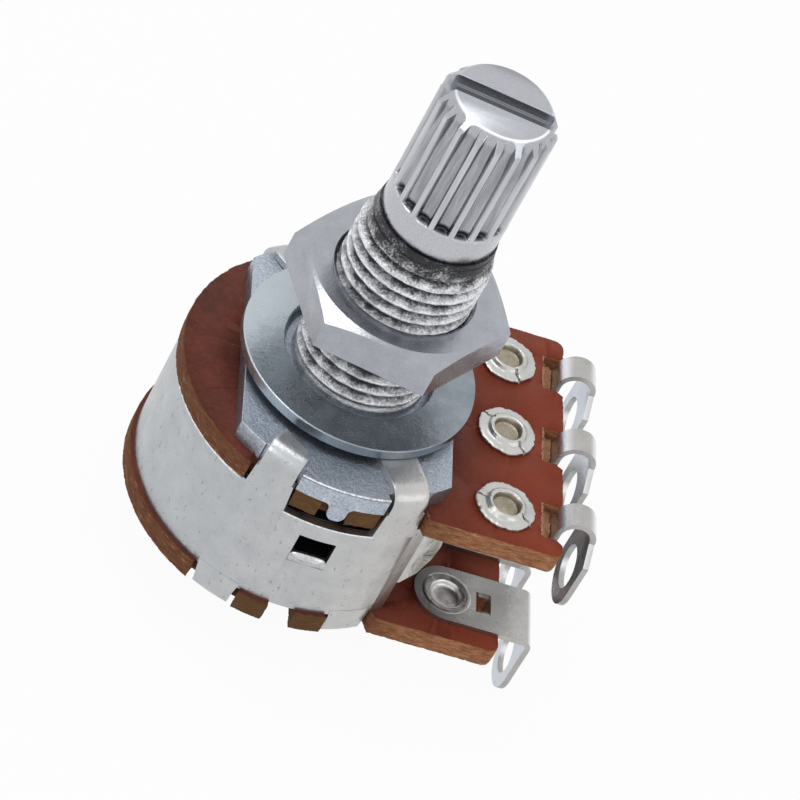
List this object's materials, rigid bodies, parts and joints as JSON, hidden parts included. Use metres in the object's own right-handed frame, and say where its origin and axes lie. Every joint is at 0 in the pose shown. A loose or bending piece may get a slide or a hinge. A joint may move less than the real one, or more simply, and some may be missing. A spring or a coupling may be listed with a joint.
{
  "type": "rotary potentiometer",
  "caption": "Panel-mount rotary potentiometer with two stacked resistance boards, a round sheet housing, a threaded bushing with nut and washer, and a knurled slotted shaft.",
  "frame": {"origin": "on the shaft axis, in the front face of the mounting plate", "axes": "+Z along the shaft to its tip, +X towards the solder terminals, +Y completes the right-handed frame"},
  "size_m": [0.0219, 0.0172, 0.0324],
  "materials": {
    "nickel_plate": "bright plated, fine turning marks",
    "spring_steel": "plain spring steel",
    "zinc_casting": "plated zinc casting, bluish",
    "zinc_plate": "bluish zinc plate",
    "tinned_sheet": "tinned sheet with small pits",
    "laminate": "red-brown paper laminate, satin faces",
    "carbon_print": "printed carbon",
    "silver_print": "printed silver",
    "black_moulding": "moulded, matt",
    "contact_brass": "thin spring sheet",
    "tinned_brass": "dull tin plate"
  },
  "bodies": {
    "base": {"bushing_plate": "zinc_casting", "hex_nut": "zinc_plate", "flat_washer": "zinc_plate", "housing": "tinned_sheet", "front_board": "laminate", "front_track": "carbon_print", "front_collector": "silver_print", "front_terminal_1": "tinned_brass", "front_terminal_2": "tinned_brass", "front_terminal_3": "tinned_brass", "rear_board": "laminate", "rear_track": "carbon_print", "rear_collector": "silver_print", "rear_terminal_1": "tinned_brass", "rear_terminal_2": "tinned_brass", "rear_terminal_3": "tinned_brass"},
    "spindle": {"shaft": "nickel_plate", "shaft_clip": "spring_steel", "front_rotor": "black_moulding", "front_wiper": "contact_brass", "rear_rotor": "black_moulding", "rear_wiper": "contact_brass"}
  },
  "joints": [
    {"name": "shaft_turn", "type": "hinge", "parent": "base", "child": "spindle", "pos_m": [0, 0, 0], "axis": [0, 0, 1], "range_deg": [-150, 150]}
  ]
}
